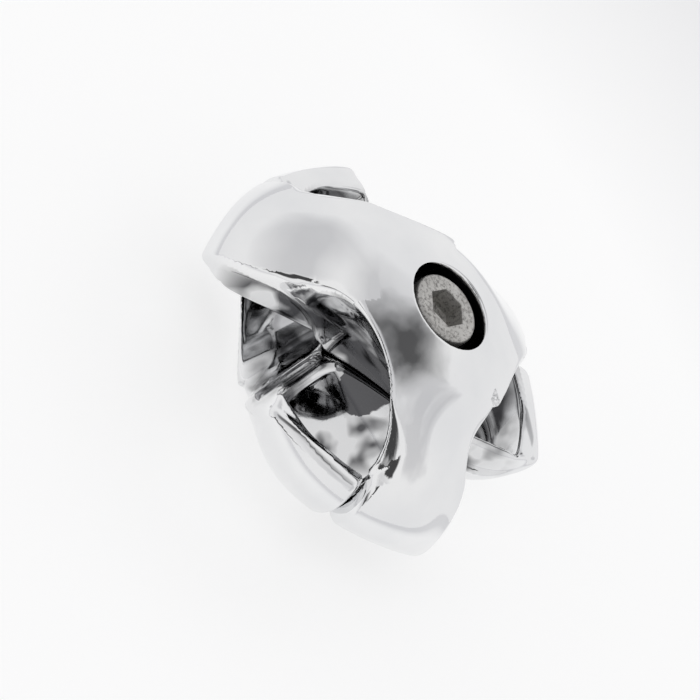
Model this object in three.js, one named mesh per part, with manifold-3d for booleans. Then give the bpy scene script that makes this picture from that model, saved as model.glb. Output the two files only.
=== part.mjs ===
// Three-way cross clamp: two interlocking three-armed shells drawn together by one cap screw.
// Units are millimetres. The origin is the centre of the clamp, +Z runs up the screw axis
// towards the screw head, and +X is the line about which one shell turned over becomes the other.
import * as THREE from 'three';
import { mergeVertices } from 'three/addons/utils/BufferGeometryUtils.js';
import Module from 'manifold-3d';

const wasm = await Module();
wasm.setup();

const TURN = 2 * Math.PI;
const THIRD = TURN / 3;
const DEG = Math.PI / 180;

// Outer form: a flattened ball.
const BODY_RADIUS = 27.4;
const BODY_HALF_HEIGHT = 15.6;
const BODY_POWER = 1.7;
const BODY_SEGMENTS = 60;
const BODY_STEPS = 9;

// Three sloping passages, set round the screw like the vanes of a pinwheel.
const PASSAGE_OFFSET = 14.15;
const PASSAGE_HALF_WIDTH = 9.1;
const PASSAGE_HALF_HEIGHT = 8.4;
const PASSAGE_SLOPE = 24 * DEG;
const PASSAGE_SEGMENTS = 36;

// Parting between the two shells.
const GAP = 0.3;
const CORE_RADIUS = 9.7;
const ARM_REACH = 4.2;
const ARM_SLOPE_END = 25.5;
const NOTCH_HALF_ANGLE = 31 * DEG;
const NOTCH_START = 6.5;
const NOTCH_SETBACK = 0.1;
const OUTSIDE = 40;

// Curtain walls that close the ends of the arms.
const WALL_INNER_RADIUS = 23.4;
const FLANK_WALL = 2.0;
const WALL_TOP = 5;
const TIP_ROUND_START = 33 * DEG;
const TIP_ROUND_RADIUS = 24.2;

// Cap screw, M6 x 20.
const HEAD_RADIUS = 5;
const HEAD_TOP = 14.0;
const HEAD_HEIGHT = 6;
const SHANK_RADIUS = 3;
const SHANK_LENGTH = 20;
const SOCKET_FLATS = 5;
const SOCKET_DEPTH = 3;
const SOCKET_TURN = 15 * DEG;
const EDGE_BREAK = 0.35;
const ROUND_SEGMENTS = 36;

// Openings for the screw, and the flat the clamp rests on.
const COUNTERBORE_RADIUS = 6.2;
const SCREW_HOLE_RADIUS = SHANK_RADIUS + GAP;
const SEAT_HEIGHT = HEAD_TOP - HEAD_HEIGHT - GAP;
const REST_HEIGHT = 14.4;

const CHROME = { color: 0xd9dadc, roughness: 0.08, metalness: 1 };
const ZINC_PLATE = { color: 0x9c9a94, roughness: 0.42, metalness: 1 };

function solid(geometry) {
  const bare = new THREE.BufferGeometry();
  bare.setAttribute('position', geometry.getAttribute('position'));
  if (geometry.index) {
    bare.setIndex(geometry.index);
  }
  const merged = mergeVertices(bare, 1e-4);
  const mesh = new wasm.Mesh({
    numProp: 3,
    vertProperties: new Float32Array(merged.getAttribute('position').array),
    triVerts: new Uint32Array(merged.index.array),
  });
  return new wasm.Manifold(mesh);
}

function geometryOf(shape) {
  const mesh = shape.getMesh();
  const geometry = new THREE.BufferGeometry();
  geometry.setAttribute('position', new THREE.BufferAttribute(new Float32Array(mesh.vertProperties), 3));
  geometry.setIndex(new THREE.BufferAttribute(new Uint32Array(mesh.triVerts), 1));
  const flat = geometry.toNonIndexed();
  flat.computeVertexNormals();
  return flat;
}

function union(shapes) {
  return shapes.reduce((sum, shape) => sum.add(shape));
}

function lathe(pairs, segments) {
  const points = pairs.map(([radius, height]) => new THREE.Vector2(radius, height));
  const geometry = new THREE.LatheGeometry(points, segments);
  geometry.rotateX(Math.PI / 2);
  return solid(geometry);
}

function prism(pairs, bottom, top) {
  const outline = new THREE.Shape(pairs.map(([x, y]) => new THREE.Vector2(x, y)));
  const geometry = new THREE.ExtrudeGeometry(outline, { depth: top - bottom, bevelEnabled: false });
  geometry.translate(0, 0, bottom);
  return solid(geometry);
}

function threeOf(shape) {
  const step = THIRD / DEG;
  return union([0, 1, 2].map((k) => shape.rotate([0, 0, k * step])));
}

function onCircle(radius, angle) {
  return [radius * Math.cos(angle), radius * Math.sin(angle)];
}

// The flattened ball, drawn from its lower pole to its upper pole.
function ball() {
  const profile = [];
  for (let i = -BODY_STEPS; i <= BODY_STEPS; i += 1) {
    const t = (i / BODY_STEPS) * (Math.PI / 2);
    const radius = BODY_RADIUS * Math.pow(Math.cos(t), 2 / BODY_POWER);
    const height = BODY_HALF_HEIGHT * Math.pow(Math.abs(Math.sin(t)), 2 / BODY_POWER);
    profile.push([Math.abs(i) === BODY_STEPS ? 0 : radius, Math.sign(i) * height]);
  }
  return lathe(profile, BODY_SEGMENTS);
}

// One passage: an oval tunnel beside the screw, rising towards -Y.
function passage() {
  const geometry = new THREE.CylinderGeometry(1, 1, 2 * OUTSIDE, PASSAGE_SEGMENTS);
  geometry.scale(PASSAGE_HALF_WIDTH, 1, PASSAGE_HALF_HEIGHT);
  geometry.rotateX(-PASSAGE_SLOPE);
  geometry.translate(PASSAGE_OFFSET, 0, 0);
  return solid(geometry);
}

// A point on an arm's straight flank, reached by going out from the notch between two arms.
function flankPoint(reach, inset) {
  const middle = THIRD / 2;
  const heading = middle - NOTCH_HALF_ANGLE;
  const [rootX, rootY] = onCircle(CORE_RADIUS, middle);
  const [stepX, stepY] = onCircle(reach, heading);
  const [insetX, insetY] = onCircle(inset, heading - Math.PI / 2);
  return [rootX + stepX + insetX, rootY + stepY + insetY];
}

// Plan of one arm, from the +X line round to its flank.
function armPlan() {
  const outline = [[1, GAP / 2], [OUTSIDE, GAP / 2]];
  outline.push(onCircle(OUTSIDE, TIP_ROUND_START / 2));
  outline.push(onCircle(BODY_RADIUS, TIP_ROUND_START));
  outline.push(flankPoint(TIP_ROUND_RADIUS - CORE_RADIUS, 0));
  outline.push(flankPoint(0, 0));
  return outline;
}

// Space above the lower edge of the arms: level over the core, then falling outwards.
function aboveArmEdge(top) {
  return lathe([
    [0, GAP / 2],
    [CORE_RADIUS, GAP / 2],
    [ARM_SLOPE_END, GAP / 2 - ARM_REACH],
    [OUTSIDE, GAP / 2 - ARM_REACH],
    [OUTSIDE, top],
    [0, top],
  ], BODY_SEGMENTS);
}

function core() {
  return lathe([[0, 0], [CORE_RADIUS, 0], [CORE_RADIUS, OUTSIDE], [0, OUTSIDE]], ROUND_SEGMENTS);
}

// The roof of a shell, over the claws of the other shell, trimmed back beside each arm.
function roof() {
  const plan = prism(
    [[-OUTSIDE, -OUTSIDE], [OUTSIDE, -OUTSIDE], [OUTSIDE, OUTSIDE], [-OUTSIDE, OUTSIDE]],
    ARM_REACH + GAP / 2,
    OUTSIDE,
  );
  const besideArm = prism([[18.5, -1.3], [27, -0.3], [40, -0.3], [40, -22], [18.5, -17]], 0, OUTSIDE);
  const notch = prism([
    flankPoint(NOTCH_START, -NOTCH_SETBACK),
    flankPoint(OUTSIDE, -NOTCH_SETBACK),
    onCircle(OUTSIDE, THIRD / 2 + NOTCH_HALF_ANGLE),
    onCircle(CORE_RADIUS + NOTCH_START, THIRD / 2 + NOTCH_HALF_ANGLE / 2),
  ], 0, OUTSIDE);
  return plan.subtract(threeOf(besideArm)).subtract(threeOf(notch));
}

// The wall round the end of an arm, which turns its underside into a pocket.
function curtain() {
  const wall = prism(armPlan(), -OUTSIDE, WALL_TOP);
  const pocketPlan = [[0, -1]];
  for (let i = 0; i <= 8; i += 1) {
    pocketPlan.push(onCircle(WALL_INNER_RADIUS, (i * THIRD) / 16));
  }
  const inner = prism(pocketPlan, -OUTSIDE, OUTSIDE);
  const beyondFlank = prism([
    flankPoint(-OUTSIDE, FLANK_WALL),
    flankPoint(OUTSIDE, FLANK_WALL),
    flankPoint(OUTSIDE, -OUTSIDE),
    flankPoint(-OUTSIDE, -OUTSIDE),
  ], -2 * OUTSIDE, 2 * OUTSIDE);
  return wall.subtract(inner.subtract(beyondFlank));
}

// One casting before its screw openings, shown as the front shell.
function casting() {
  const outer = ball();
  const above = aboveArmEdge(OUTSIDE);
  const arms = threeOf(prism(armPlan(), -OUTSIDE, OUTSIDE));
  const bulk = above.intersect(arms.add(core())).add(roof());
  const tunnels = threeOf(passage());
  const walls = above.intersect(threeOf(curtain()));
  return outer.intersect(bulk.subtract(tunnels).add(walls));
}

function screwHole() {
  return lathe([
    [0, -OUTSIDE],
    [SCREW_HOLE_RADIUS, -OUTSIDE],
    [SCREW_HOLE_RADIUS, OUTSIDE],
    [0, OUTSIDE],
  ], ROUND_SEGMENTS);
}

function counterbore() {
  return lathe([
    [0, SEAT_HEIGHT],
    [COUNTERBORE_RADIUS, SEAT_HEIGHT],
    [COUNTERBORE_RADIUS, OUTSIDE],
    [0, OUTSIDE],
  ], ROUND_SEGMENTS);
}

function largestBody(shape) {
  const bodies = shape.decompose();
  return bodies.reduce((best, body) => (body.volume() > best.volume() ? body : best));
}

function frontShell() {
  return largestBody(casting().subtract(screwHole()).subtract(counterbore()));
}

function rearShell() {
  const flat = prism(
    [[-OUTSIDE, -OUTSIDE], [OUTSIDE, -OUTSIDE], [OUTSIDE, OUTSIDE], [-OUTSIDE, OUTSIDE]],
    -OUTSIDE,
    -REST_HEIGHT,
  );
  const turned = casting().rotate([180, 0, 0]);
  return largestBody(turned.subtract(screwHole()).subtract(flat));
}

function capScrew() {
  const seat = HEAD_TOP - HEAD_HEIGHT;
  const blank = lathe([
    [0, seat - SHANK_LENGTH],
    [SHANK_RADIUS - EDGE_BREAK, seat - SHANK_LENGTH],
    [SHANK_RADIUS, seat - SHANK_LENGTH + EDGE_BREAK],
    [SHANK_RADIUS, seat],
    [HEAD_RADIUS, seat],
    [HEAD_RADIUS, HEAD_TOP - EDGE_BREAK],
    [HEAD_RADIUS - EDGE_BREAK, HEAD_TOP],
    [0, HEAD_TOP],
  ], ROUND_SEGMENTS);
  const corner = SOCKET_FLATS / 2 / Math.cos(TURN / 12);
  const hexagon = [];
  for (let i = 0; i < 6; i += 1) {
    hexagon.push(onCircle(corner, (i * TURN) / 6 + SOCKET_TURN));
  }
  return blank.subtract(prism(hexagon, HEAD_TOP - SOCKET_DEPTH, OUTSIDE));
}

function named(name, shape, look) {
  const mesh = new THREE.Mesh(geometryOf(shape), new THREE.MeshStandardMaterial(look));
  mesh.name = name;
  return mesh;
}

const clamp = new THREE.Group();
clamp.name = 'three_way_cross_clamp';
clamp.add(named('rear_shell', rearShell(), CHROME));
clamp.add(named('front_shell', frontShell(), CHROME));
clamp.add(named('cap_screw', capScrew(), ZINC_PLATE));

export default clamp;
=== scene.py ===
# Three-way cross clamp: polished chrome shells and a plated cap screw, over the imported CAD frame.
# Shapes are worked out in millimetres and handed to Blender in metres.
import math

import bpy
import numpy as np
from mathutils import Matrix, Vector


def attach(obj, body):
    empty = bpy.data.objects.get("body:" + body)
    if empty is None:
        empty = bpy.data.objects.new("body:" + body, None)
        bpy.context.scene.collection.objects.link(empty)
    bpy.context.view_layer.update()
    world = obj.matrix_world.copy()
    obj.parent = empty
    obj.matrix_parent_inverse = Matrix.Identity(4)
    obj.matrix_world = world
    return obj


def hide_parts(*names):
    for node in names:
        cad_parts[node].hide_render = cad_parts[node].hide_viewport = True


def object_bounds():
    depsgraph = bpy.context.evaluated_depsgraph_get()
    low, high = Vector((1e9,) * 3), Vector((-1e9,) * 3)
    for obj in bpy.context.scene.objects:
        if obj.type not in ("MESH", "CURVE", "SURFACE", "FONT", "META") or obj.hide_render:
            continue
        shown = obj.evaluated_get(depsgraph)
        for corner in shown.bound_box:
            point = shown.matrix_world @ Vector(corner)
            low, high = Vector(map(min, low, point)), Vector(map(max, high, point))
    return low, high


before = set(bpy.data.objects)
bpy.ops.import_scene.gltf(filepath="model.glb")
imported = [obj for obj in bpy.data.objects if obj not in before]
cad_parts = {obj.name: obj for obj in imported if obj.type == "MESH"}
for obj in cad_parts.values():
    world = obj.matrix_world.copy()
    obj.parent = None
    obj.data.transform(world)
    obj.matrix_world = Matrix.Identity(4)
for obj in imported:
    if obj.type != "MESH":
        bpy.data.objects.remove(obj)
CAD_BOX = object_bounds()

MM = 0.001

# Outer form of the casting.
BODY_RADIUS = 27.3
BODY_HALF_HEIGHT = 15.5
BODY_POWER = 1.7

# Passages beside the screw.
PASSAGE_OFFSET = 14.15
PASSAGE_HALF_WIDTH = 9.1
PASSAGE_HALF_HEIGHT = 8.4
PASSAGE_SLOPE = math.radians(24)

# Parting of the shells.
HALF_GAP = 0.15
CORE_RADIUS = 9.7
ARM_REACH = 4.2
ARM_SLOPE_END = 25.5
NOTCH_HALF_ANGLE = math.radians(31)
WALL_INNER_RADIUS = 23.4
FLANK_WALL = 2.0
WALL_TOP = 5.0

# Straight cut across the tip of each arm, in plan.
TIP_POINT = (22.98, 14.92)
TIP_NORMAL = (0.093, 0.996)

# The roof of each arm sinks towards its flank.
DROOP = 3.0
DROOP_WIDTH = 7.0
DROOP_START = 11.0
DROOP_FULL = 18.0

# The roof over the other shell's claws: two straight trims beside each arm, as slope, start
# and offset, and the floor of the V notch between two arms.
OUTER_TRIM = (0.25, 26.2, 0.9)
INNER_TRIM = (0.84, 16.2, 5.0)
NOTCH_SETBACK = 0.1
NOTCH_FLOOR_RADIUS = 15.5

# Roundings. The back of an arm and of its roof is rounded more towards the arm's end.
LIP_ROUND = 1.3
TIP_ROUND = 3.0
PASSAGE_LIP = 0.8
ARM_BACK_ROUND = 3.0
ROOF_BACK_ROUND = 6.0
BACK_START = 17.0
BACK_FULL = 24.0
EDGE_ROUND = 0.3
FOOT_ROUND = 0.8
TRIM_ROUND = 1.0
NOTCH_ROUND = 2.0
MEETING_ROUND = 0.4
COUNTERBORE_LIP = 0.5
FRONT_HOLE_LIP = 0.3
REAR_LIP = 0.6
INNER_ROUND = 1.6

# Screw and its openings.
HEAD_TOP = 14.0
HEAD_HEIGHT = 6.0
SHANK_LENGTH = 20.0
SOCKET_FLATS = 5.0
SOCKET_DEPTH = 3.0
SOCKET_TURN = math.radians(15)
SCREW_RAYS = 120
SCREW_CREASE = math.radians(28)
THREAD_PITCH = 1.0
THREAD_ROOT = 2.52
THREAD_CREST = 2.97
# Outline of the head, as radius and height over the seat, then radius and depth below the top.
HEAD_FOOT = [(4.75, 0.0), (4.9, 0.05), (4.97, 0.2)]
HEAD_RIM = [(4.98, 0.62), (4.95, 0.42), (4.86, 0.22), (4.72, 0.08), (4.5, 0.01), (4.2, 0.0), (3.5, 0.0)]
# Walls of the socket, as extra half width and depth below the top.
SOCKET_LIP = [(0.14, 0.0), (0.03, 0.06), (0.0, 0.2), (0.0, SOCKET_DEPTH)]
SOCKET_CONE = 0.6
COUNTERBORE_RADIUS = 6.2
SEAT_HEIGHT = 7.7
SCREW_HOLE_RADIUS = 3.3
REST_HEIGHT = 14.4

# Painted shade: depth below the outer form over which the base colour is painted darker, standing in for the
# shade and dark reflections inside the casting.
# It starts at once on the walls of the passages, and deeper where an outer edge is only rounded.
RECESS_START = 0.9
RECESS_FULL = 3.2
# Painted shade in the screw's well: a value past 1 paints the well fully dark.
WELL_SHADE = 7.0
ROUNDED_START = 3.8
ON_PASSAGE = 0.15
WELL_MARGIN = 0.3
WELL_TOP_MARGIN = 0.2

# Grid the casting is sampled on.
CELL = 0.34
GRID_HALF = 28.6
GRID_HALF_HEIGHT = 17.0
SURFACE_PASSES = 4
MOST_MOVE = 0.4 * CELL
LEAST_SLOPE_SQUARED = 0.05
SLOPE_STEP = 0.02


def smooth_max(a, b, k):
    h = np.maximum(k - np.abs(a - b), 0.0) / k
    return np.maximum(a, b) + h * h * k * 0.25


def smooth_min(a, b, k):
    return -smooth_max(-a, -b, k)


def ball(x, y, z):
    """Signed measure of the flattened ball, scaled to be close to a distance near its surface."""
    rho = np.sqrt(x * x + y * y) / BODY_RADIUS
    up = np.abs(z) / BODY_HALF_HEIGHT
    value = (rho ** BODY_POWER + up ** BODY_POWER) ** (1.0 / BODY_POWER) - 1.0
    return value * BODY_HALF_HEIGHT


def passages(x, y, z):
    """Signed measure of the three sloping tunnels together."""
    best = None
    rise = math.tan(PASSAGE_SLOPE)
    for k in range(3):
        c = math.cos(-k * math.tau / 3)
        s = math.sin(-k * math.tau / 3)
        px = x * c - y * s - PASSAGE_OFFSET
        py = x * s + y * c
        across = (z + py * rise) * math.cos(PASSAGE_SLOPE)
        r = np.sqrt((px / PASSAGE_HALF_WIDTH) ** 2 + (across / PASSAGE_HALF_HEIGHT) ** 2)
        d = (r - 1.0) * PASSAGE_HALF_HEIGHT
        best = d if best is None else smooth_min(best, d, MEETING_ROUND)
    return best


def sector(x, y):
    """Folds the plan into one third: along the arm's axis line, and across it."""
    angle = np.arctan2(y, x)
    fold = np.mod(angle + math.pi / 3, math.tau / 3) - math.pi / 3
    rho = np.sqrt(x * x + y * y)
    return rho, rho * np.cos(fold), rho * np.sin(fold), fold


def trim_line(along, across, line):
    """Positive on the trimmed side of a straight line in plan."""
    slope, start, offset = line
    return slope * (along - start) - (across + offset)


def casting(x, y, z):
    """Signed measure of one casting, as the front shell, before its screw openings."""
    rho, along, across, fold = sector(x, y)
    out = rho * np.cos(fold - math.pi / 3) - CORE_RADIUS
    side = rho * np.sin(fold - math.pi / 3)
    flank = side * math.cos(NOTCH_HALF_ANGLE) + out * math.sin(NOTCH_HALF_ANGLE)
    drop = np.clip((rho - CORE_RADIUS) / (ARM_SLOPE_END - CORE_RADIUS), 0.0, 1.0) * ARM_REACH
    under = HALF_GAP - drop - z
    back = smooth_max(under, HALF_GAP - across, FOOT_ROUND)
    outward = np.clip((rho - BACK_START) / (BACK_FULL - BACK_START), 0.0, 1.0)
    core = np.maximum(HALF_GAP - z, rho - CORE_RADIUS)
    outer_trim = trim_line(along, across, OUTER_TRIM)
    inner_trim = trim_line(along, across, INNER_TRIM)
    beside = smooth_min(outer_trim, inner_trim, TRIM_ROUND)
    notch = smooth_min(flank - NOTCH_SETBACK, rho - NOTCH_FLOOR_RADIUS, NOTCH_ROUND)
    roof_edge = smooth_max(beside, notch, LIP_ROUND)
    # What lies outside this room belongs to the other shell.
    room = np.minimum(np.maximum(under, HALF_GAP - across), np.minimum(core, ARM_REACH + HALF_GAP - z))
    tip = TIP_NORMAL[0] * (along - TIP_POINT[0]) + TIP_NORMAL[1] * (across - TIP_POINT[1])
    start = np.clip((rho - DROOP_START) / (DROOP_FULL - DROOP_START), 0.0, 1.0)
    droop = DROOP * np.exp(-(flank / DROOP_WIDTH) ** 2) * start * start * (3 - 2 * start)
    outer = ball(x, y, z + droop)
    arm_solid = smooth_max(outer, back, EDGE_ROUND + ARM_BACK_ROUND * outward)
    arm_solid = smooth_max(arm_solid, smooth_max(flank, tip, LIP_ROUND), LIP_ROUND)
    roof_solid = smooth_max(outer, roof_edge, LIP_ROUND + ROOF_BACK_ROUND * outward)
    roof_solid = smooth_max(roof_solid, ARM_REACH + HALF_GAP - z, EDGE_ROUND)
    roof_solid = smooth_max(roof_solid, tip, LIP_ROUND)
    core_solid = smooth_max(outer, core, LIP_ROUND)
    shell = np.minimum(arm_solid, np.minimum(core_solid, roof_solid))
    shell = smooth_max(shell, -passages(x, y, z), PASSAGE_LIP)
    pocket = np.minimum(WALL_INNER_RADIUS - rho, -flank - FLANK_WALL)
    wall = smooth_max(pocket, z - WALL_TOP, FOOT_ROUND)
    end = smooth_max(arm_solid, flank, TIP_ROUND)
    curtain = smooth_max(end, wall, FOOT_ROUND)
    return np.maximum(np.maximum(smooth_min(shell, curtain, INNER_ROUND), outer), room)


def front_shell(x, y, z):
    rho = np.sqrt(x * x + y * y)
    d = casting(x, y, z)
    d = smooth_max(d, -np.maximum(rho - COUNTERBORE_RADIUS, SEAT_HEIGHT - z), COUNTERBORE_LIP)
    return smooth_max(d, SCREW_HOLE_RADIUS - rho, FRONT_HOLE_LIP)


def rear_shell(x, y, z):
    rho = np.sqrt(x * x + y * y)
    d = casting(x, -y, -z)
    d = smooth_max(d, -REST_HEIGHT - z, REAR_LIP)
    return smooth_max(d, SCREW_HOLE_RADIUS - rho, REAR_LIP)


def nets(measure):
    """Quad mesh of the surface where measure is zero, with its vertices moved onto the surface."""
    xs = np.arange(-GRID_HALF, GRID_HALF + CELL, CELL)
    zs = np.arange(-GRID_HALF_HEIGHT, GRID_HALF_HEIGHT + CELL, CELL)
    grid = np.meshgrid(xs, xs, zs, indexing="ij")
    field = measure(*grid).astype(np.float32)
    inside = field < 0
    nx, ny, nz = (n - 1 for n in field.shape)
    corner_count = np.zeros((nx, ny, nz), np.int8)
    for i in (0, 1):
        for j in (0, 1):
            for k in (0, 1):
                corner_count += inside[i:nx + i, j:ny + j, k:nz + k]
    active = (corner_count > 0) & (corner_count < 8)
    cells = np.argwhere(active)
    index = np.full(active.shape, -1, np.int64)
    index[active] = np.arange(len(cells))
    total = np.zeros((len(cells), 3))
    weight = np.zeros(len(cells))
    corners = [(i, j, k) for i in (0, 1) for j in (0, 1) for k in (0, 1)]
    for a in corners:
        for b in corners:
            if sum(b) - sum(a) != 1 or any(q < p for p, q in zip(a, b)):
                continue
            va = field[tuple((cells + a).T)]
            vb = field[tuple((cells + b).T)]
            cross = (va < 0) != (vb < 0)
            t = np.where(cross, va / np.where(cross, va - vb, 1.0), 0.0)
            step = np.array(b) - np.array(a)
            total += np.where(cross[:, None], np.array(a) + t[:, None] * step, 0.0)
            weight += cross
    points = (cells + total / weight[:, None]) * CELL
    points += [xs[0], xs[0], zs[0]]
    faces = []
    for axis in range(3):
        lo = [slice(None)] * 3
        hi = [slice(None)] * 3
        lo[axis] = slice(0, -1)
        hi[axis] = slice(1, None)
        first = inside[tuple(lo)]
        second = inside[tuple(hi)]
        for flip, mask in ((False, first & ~second), (True, ~first & second)):
            at = np.argwhere(mask)
            u = (axis + 1) % 3
            v = (axis + 2) % 3
            above = (at[:, u] > 0) & (at[:, v] > 0)
            below = (at[:, u] < index.shape[u]) & (at[:, v] < index.shape[v])
            at = at[above & below]
            ring = []
            for du, dv in ((-1, -1), (0, -1), (0, 0), (-1, 0)):
                c = at.copy()
                c[:, u] += du
                c[:, v] += dv
                ring.append(index[tuple(c.T)])
            quad = np.stack(ring, 1)
            faces.append(quad[:, ::-1] if flip else quad)
    faces = np.concatenate(faces)
    for _ in range(SURFACE_PASSES):
        value, slope = value_and_slope(measure, points)
        length2 = np.maximum((slope * slope).sum(1), LEAST_SLOPE_SQUARED)
        move = -value[:, None] * slope / length2[:, None]
        reach = np.linalg.norm(move, axis=1, keepdims=True)
        points += move * np.minimum(1.0, MOST_MOVE / np.maximum(reach, 1e-9))
    return points, faces


def value_and_slope(measure, points):
    e = SLOPE_STEP
    x, y, z = points.T
    value = measure(x, y, z)
    slope = np.stack([
        measure(x + e, y, z) - measure(x - e, y, z),
        measure(x, y + e, z) - measure(x, y - e, z),
        measure(x, y, z + e) - measure(x, y, z - e),
    ], 1) / (2 * e)
    return value, slope


def mesh_object(name, points, faces, crease=None):
    mesh = bpy.data.meshes.new(name)
    mesh.from_pydata((points * MM).tolist(), [], faces.tolist())
    mesh.polygons.foreach_set("use_smooth", [True] * len(mesh.polygons))
    mesh.update()
    if crease is not None:
        mesh.set_sharp_from_angle(angle=crease)
    obj = bpy.data.objects.new(name, mesh)
    bpy.context.scene.collection.objects.link(obj)
    return obj


def shell_object(name, measure):
    points, faces = nets(measure)
    obj = mesh_object(name, points, faces)
    _, slope = value_and_slope(measure, points)
    slope /= np.maximum(np.linalg.norm(slope, axis=1, keepdims=True), 1e-9)
    obj.data.normals_split_custom_set_from_vertices(slope.tolist())
    x, y, z = points.T
    # Painted shade: depth inside the outer form, and lying in the screw's well, set how dark each point's
    # base colour is painted.
    below_outside = -ball(x, y, z) - np.where(passages(x, y, z) < ON_PASSAGE, RECESS_START, ROUNDED_START)
    depth = np.clip(below_outside / (RECESS_FULL - RECESS_START), 0.0, 1.0)
    in_well = (np.hypot(x, y) < COUNTERBORE_RADIUS + WELL_MARGIN) & (np.abs(z) < HEAD_TOP - WELL_TOP_MARGIN)
    depth = np.where(in_well, WELL_SHADE, depth)
    recess_shade = obj.data.attributes.new("recess_shade", "FLOAT", "POINT")
    recess_shade.data.foreach_set("value", depth.astype(np.float32))
    return obj


def ring_mesh(profile, count):
    """A turned piece: profile is a list of (radius, height) from the axis out and back to it."""
    points = []
    faces = []
    rings = []
    for radius, height in profile:
        if radius == 0:
            rings.append([len(points)] * count)
            points.append((0.0, 0.0, height))
            continue
        ring = []
        for i in range(count):
            a = math.tau * i / count
            ring.append(len(points))
            points.append((radius * math.cos(a), radius * math.sin(a), height))
        rings.append(ring)
    for low, high in zip(rings, rings[1:]):
        for i in range(count):
            j = (i + 1) % count
            quad = [low[i], low[j], high[j], high[i]]
            tidy = [q for n, q in enumerate(quad) if q not in quad[:n]]
            if len(tidy) > 2:
                faces.append(tidy)
    return points, faces


def hexagon(radius, turn, count):
    """Points round a hexagon, evenly spaced by angle, on count rays."""
    points = []
    for i in range(count):
        a = math.tau * i / count
        local = (a - turn) % (math.tau / 6) - math.tau / 12
        points.append((radius / math.cos(local), a))
    return points


def screw_object(name):
    """Cap screw with a hex socket, a plain head and a threaded shank."""
    count = SCREW_RAYS
    seat = HEAD_TOP - HEAD_HEIGHT
    end = seat - SHANK_LENGTH
    outline = [(0, end), (2.3, end), (2.65, end + 0.35)]
    z = end + 0.6
    while z < seat - 1.2:
        outline.append((THREAD_ROOT, z))
        outline.append((THREAD_CREST, z + THREAD_PITCH * 0.42))
        outline.append((THREAD_CREST, z + THREAD_PITCH * 0.55))
        z += THREAD_PITCH
    outline += [(2.7, seat - 0.6), (THREAD_CREST, seat - 0.4), (THREAD_CREST, seat)]
    outline += [(radius, seat + height) for radius, height in HEAD_FOOT]
    outline += [(radius, HEAD_TOP - depth) for radius, depth in HEAD_RIM]
    points, faces = ring_mesh(outline, count)
    last = len(points) - count
    half = SOCKET_FLATS / 2
    for extra, depth in SOCKET_LIP:
        start = len(points)
        for r, a in hexagon(half + extra, SOCKET_TURN, count):
            points.append((r * math.cos(a), r * math.sin(a), HEAD_TOP - depth))
        for i in range(count):
            j = (i + 1) % count
            faces.append([last + i, last + j, start + j, start + i])
        last = start
    points.append((0, 0, HEAD_TOP - SOCKET_DEPTH - SOCKET_CONE))
    for i in range(count):
        faces.append([last + i, last + (i + 1) % count, len(points) - 1])
    return mesh_object(name, np.array(points, float), np.array(faces, dtype=object), SCREW_CREASE)


def node(tree, kind, **values):
    n = tree.nodes.new(kind)
    for key, value in values.items():
        setattr(n, key, value)
    return n


def mix(tree, factor, a, b):
    m = node(tree, "ShaderNodeMix", data_type="RGBA")
    tree.links.new(factor, m.inputs[0])
    for socket, value in ((m.inputs[6], a), (m.inputs[7], b)):
        if isinstance(value, tuple):
            socket.default_value = value
        else:
            tree.links.new(value, socket)
    return m.outputs[2]


def noise(tree, scale, detail, rough=0.5):
    coord = node(tree, "ShaderNodeTexCoord")
    n = node(tree, "ShaderNodeTexNoise")
    n.inputs["Scale"].default_value = scale
    n.inputs["Detail"].default_value = detail
    n.inputs["Roughness"].default_value = rough
    tree.links.new(coord.outputs["Object"], n.inputs["Vector"])
    return n.outputs["Fac"]


def ramp(tree, factor, low, high, a, b):
    r = node(tree, "ShaderNodeMapRange")
    r.inputs["From Min"].default_value = low
    r.inputs["From Max"].default_value = high
    r.inputs["To Min"].default_value = a
    r.inputs["To Max"].default_value = b
    tree.links.new(factor, r.inputs["Value"])
    return r.outputs["Result"]


def bump(tree, height, strength, distance, below=None):
    b = node(tree, "ShaderNodeBump")
    b.inputs["Strength"].default_value = strength
    b.inputs["Distance"].default_value = distance
    tree.links.new(height, b.inputs["Height"])
    if below is not None:
        tree.links.new(below, b.inputs["Normal"])
    return b.outputs["Normal"]


def chrome_material():
    mat = bpy.data.materials.new("polished_chrome")
    mat.use_nodes = True
    tree = mat.node_tree
    shader = tree.nodes["Principled BSDF"]
    shader.inputs["Metallic"].default_value = 1.0
    haze = noise(tree, 90, 3)
    tint = mix(tree, ramp(tree, haze, 0.3, 0.7, 0, 1), (0.80, 0.805, 0.815, 1), (0.88, 0.88, 0.88, 1))
    # Painted shade: the base colour turns dark grey by the amount stored on each point of the shells, broken
    # into patches by noise.
    recess_shade = node(tree, "ShaderNodeAttribute", attribute_name="recess_shade").outputs["Fac"]
    patches = ramp(tree, noise(tree, 170, 2), 0.42, 0.58, 0.15, 1.0)
    shade = node(tree, "ShaderNodeMath", operation="MULTIPLY")
    tree.links.new(recess_shade, shade.inputs[0])
    tree.links.new(patches, shade.inputs[1])
    tint_and_painted_shade = mix(tree, shade.outputs[0], tint, (0.10, 0.10, 0.105, 1))
    tree.links.new(tint_and_painted_shade, shader.inputs["Base Color"])
    specks = noise(tree, 2600, 2)
    rough = ramp(tree, haze, 0.3, 0.75, 0.035, 0.085)
    pits = ramp(tree, specks, 0.68, 0.78, 0.0, 0.12)
    total = node(tree, "ShaderNodeMath", operation="ADD")
    tree.links.new(rough, total.inputs[0])
    tree.links.new(pits, total.inputs[1])
    tree.links.new(total.outputs[0], shader.inputs["Roughness"])
    wave = bump(tree, noise(tree, 130, 1), 0.16, 0.0006)
    fine = bump(tree, specks, 0.05, 0.00002, wave)
    tree.links.new(fine, shader.inputs["Normal"])
    return mat


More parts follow.
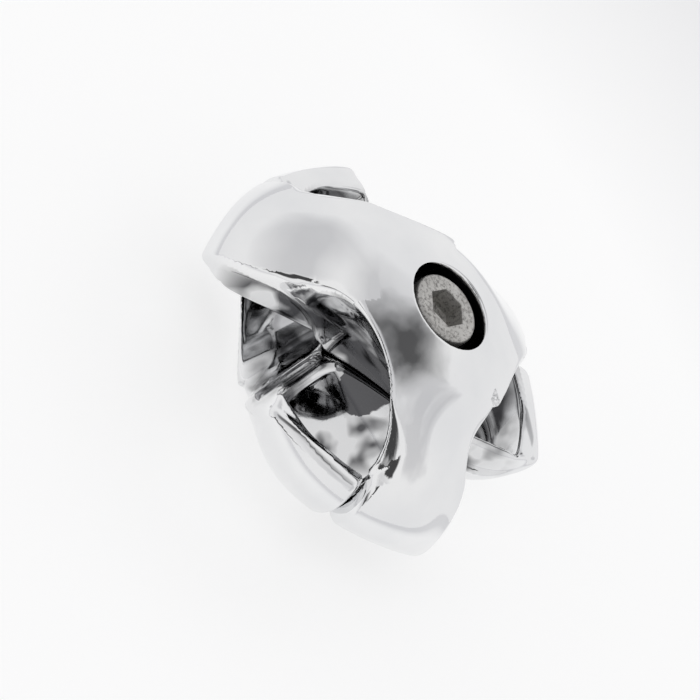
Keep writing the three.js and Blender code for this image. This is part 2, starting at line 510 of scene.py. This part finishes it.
def screw_material():
    mat = bpy.data.materials.new("speckled_plate")
    mat.use_nodes = True
    tree = mat.node_tree
    shader = tree.nodes["Principled BSDF"]
    shader.inputs["Metallic"].default_value = 0.85
    grain = noise(tree, 2400, 4, 0.7)
    cloud = noise(tree, 320, 3)
    base = mix(tree, ramp(tree, cloud, 0.3, 0.7, 0, 1), (0.46, 0.45, 0.43, 1), (0.60, 0.59, 0.57, 1))
    spots = mix(tree, ramp(tree, grain, 0.5, 0.62, 0, 1), base, (0.26, 0.25, 0.24, 1))
    tree.links.new(spots, shader.inputs["Base Color"])
    tree.links.new(ramp(tree, grain, 0.3, 0.7, 0.32, 0.58), shader.inputs["Roughness"])
    tree.links.new(bump(tree, grain, 0.5, 0.00008), shader.inputs["Normal"])
    return mat


def floor_material():
    mat = bpy.data.materials.new("white_sweep")
    mat.use_nodes = True
    tree = mat.node_tree
    shader = tree.nodes["Principled BSDF"]
    soft = noise(tree, 6, 2)
    tint = mix(tree, ramp(tree, soft, 0.3, 0.7, 0, 1), (0.40, 0.40, 0.40, 1), (0.42, 0.42, 0.42, 1))
    tree.links.new(tint, shader.inputs["Base Color"])
    tree.links.new(ramp(tree, soft, 0, 1, 0.7, 0.8), shader.inputs["Roughness"])
    # Painted light: the floor glows, white within about 9 cm of the centre and dimmer further out, which
    # washes out the part's shadow on it.
    coord = node(tree, "ShaderNodeTexCoord")
    far = node(tree, "ShaderNodeVectorMath", operation="LENGTH")
    tree.links.new(coord.outputs["Object"], far.inputs[0])
    painted_light_pool = mix(tree, ramp(tree, far.outputs["Value"], 0.09, 0.22, 0, 1), (1, 1, 1, 1), (0.62, 0.62, 0.64, 1))
    tree.links.new(painted_light_pool, shader.inputs["Emission Color"])
    shader.inputs["Emission Strength"].default_value = 0.62
    return mat


def add_floor():
    low = CAD_BOX[0][2] - 0.0002
    size = 2.0
    mesh = bpy.data.meshes.new("floor")
    corners = [(-size, -size, low), (size, -size, low), (size, size, low), (-size, size, low)]
    mesh.from_pydata(corners, [], [(0, 1, 2, 3)])
    floor = bpy.data.objects.new("floor", mesh)
    bpy.context.scene.collection.objects.link(floor)
    mesh.materials.append(floor_material())


def add_world():
    """White surround with soft dark patches, which only reflections see."""
    world = bpy.data.worlds.new("studio")
    bpy.context.scene.world = world
    world.use_nodes = True
    tree = world.node_tree
    back = tree.nodes["Background"]
    coord = node(tree, "ShaderNodeTexCoord")
    swirl = node(tree, "ShaderNodeTexNoise")
    swirl.inputs["Scale"].default_value = 3.2
    swirl.inputs["Detail"].default_value = 3.0
    tree.links.new(coord.outputs["Generated"], swirl.inputs["Vector"])
    surround = SURROUND
    for centre, low, high, wobble, shade in DARK_PATCHES:
        aim = node(tree, "ShaderNodeVectorMath", operation="DOT_PRODUCT")
        tree.links.new(coord.outputs["Generated"], aim.inputs[0])
        aim.inputs[1].default_value = Matrix.Rotation(CAMERA_TURN, 3, "Z") @ Vector(centre).normalized()
        bent = node(tree, "ShaderNodeMath", operation="MULTIPLY_ADD")
        tree.links.new(swirl.outputs["Fac"], bent.inputs[0])
        bent.inputs[1].default_value = wobble
        tree.links.new(aim.outputs["Value"], bent.inputs[2])
        dark = ramp(tree, bent.outputs[0], low + wobble / 2, high + wobble / 2, 0.0, 1.0)
        surround = mix(tree, dark, surround, (shade, shade, shade * 1.02, 1))
    path = node(tree, "ShaderNodeLightPath")
    seen = mix(tree, path.outputs["Is Camera Ray"], surround, (1.0, 1.0, 1.0, 1))
    tree.links.new(seen, back.inputs["Color"])
    back.inputs["Strength"].default_value = 1.0


def add_light(name, place, aim, size, power):
    data = bpy.data.lights.new(name, "AREA")
    data.shape = "RECTANGLE"
    data.size = size[0]
    data.size_y = size[1]
    data.energy = power
    lamp = bpy.data.objects.new(name, data)
    lamp.location = place
    lamp.rotation_euler = (Vector(aim) - Vector(place)).to_track_quat("-Z", "Y").to_euler()
    lamp.visible_glossy = False
    bpy.context.scene.collection.objects.link(lamp)


# Camera axes, in a frame turned 30 degrees about the screw from the part's own, and its aim from
# the top of the screw head. Distances in millimetres.
CAMERA_TURN = math.radians(-30)
CAMERA_RIGHT = (-0.518, 0.560, 0.647)
CAMERA_BACK = (0.781, 0.0, 0.625)
CAMERA_DISTANCE = 280.7
HEAD_TO_CENTRE_RIGHT = -12.47
HEAD_TO_CENTRE_UP = -5.42
FRAME_WIDTH = 89.3
SURROUND = (0.90, 0.90, 0.905, 1)
# Dark patches of the studio, in the camera's frame: direction, cosines at the soft edge's outer
# and inner side, wobble of the edge, and shade.
DARK_PATCHES = [
    ((0.0, -0.35, 0.93), 0.74, 0.94, 0.12, 0.66),
    ((-0.27, 0.04, 0.96), 0.93, 1.0, 0.12, 0.10),
    ((-0.1, 0.6, 0.79), 0.92, 0.99, 0.30, 0.66),
    ((0.78, 0.0, 0.62), 0.90, 0.95, 0.20, 0.06),
    ((0.9, -0.4, -0.2), 0.93, 0.97, 0.20, 0.10),
]


def add_camera():
    turn = Matrix.Rotation(CAMERA_TURN, 3, "Z")
    right = (turn @ Vector(CAMERA_RIGHT)).normalized()
    back = (turn @ Vector(CAMERA_BACK)).normalized()
    up = back.cross(right).normalized()
    right = up.cross(back)
    aim = Vector((0, 0, HEAD_TOP)) + right * HEAD_TO_CENTRE_RIGHT + up * HEAD_TO_CENTRE_UP
    place = (aim + back * CAMERA_DISTANCE) * MM
    data = bpy.data.cameras.new("camera")
    data.sensor_width = 36
    data.lens = data.sensor_width * CAMERA_DISTANCE / FRAME_WIDTH
    data.clip_start = 0.01
    camera = bpy.data.objects.new("camera", data)
    basis = Matrix((right, up, back)).transposed().to_4x4()
    camera.matrix_world = Matrix.Translation(place) @ basis
    bpy.context.scene.collection.objects.link(camera)
    bpy.context.scene.camera = camera


bpy.context.scene.view_settings.view_transform = "Standard"
add_camera()
add_world()
add_floor()
add_light("key", (0.25, -0.25, 0.5), (0, 0, 0), (0.35, 0.35), 0.35)
add_light("fill", (-0.35, 0.3, 0.35), (0, 0, 0), (0.3, 0.2), 0.15)

chrome = chrome_material()
front = shell_object("front_shell_skin", front_shell)
front.data.materials.append(chrome)
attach(front, "front_shell")
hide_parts("front_shell")

rear = shell_object("rear_shell_skin", rear_shell)
rear.data.materials.append(chrome)
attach(rear, "rear_shell")
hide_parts("rear_shell")

screw = screw_object("cap_screw_skin")
screw.data.materials.append(screw_material())
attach(screw, "cap_screw")
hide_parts("cap_screw")
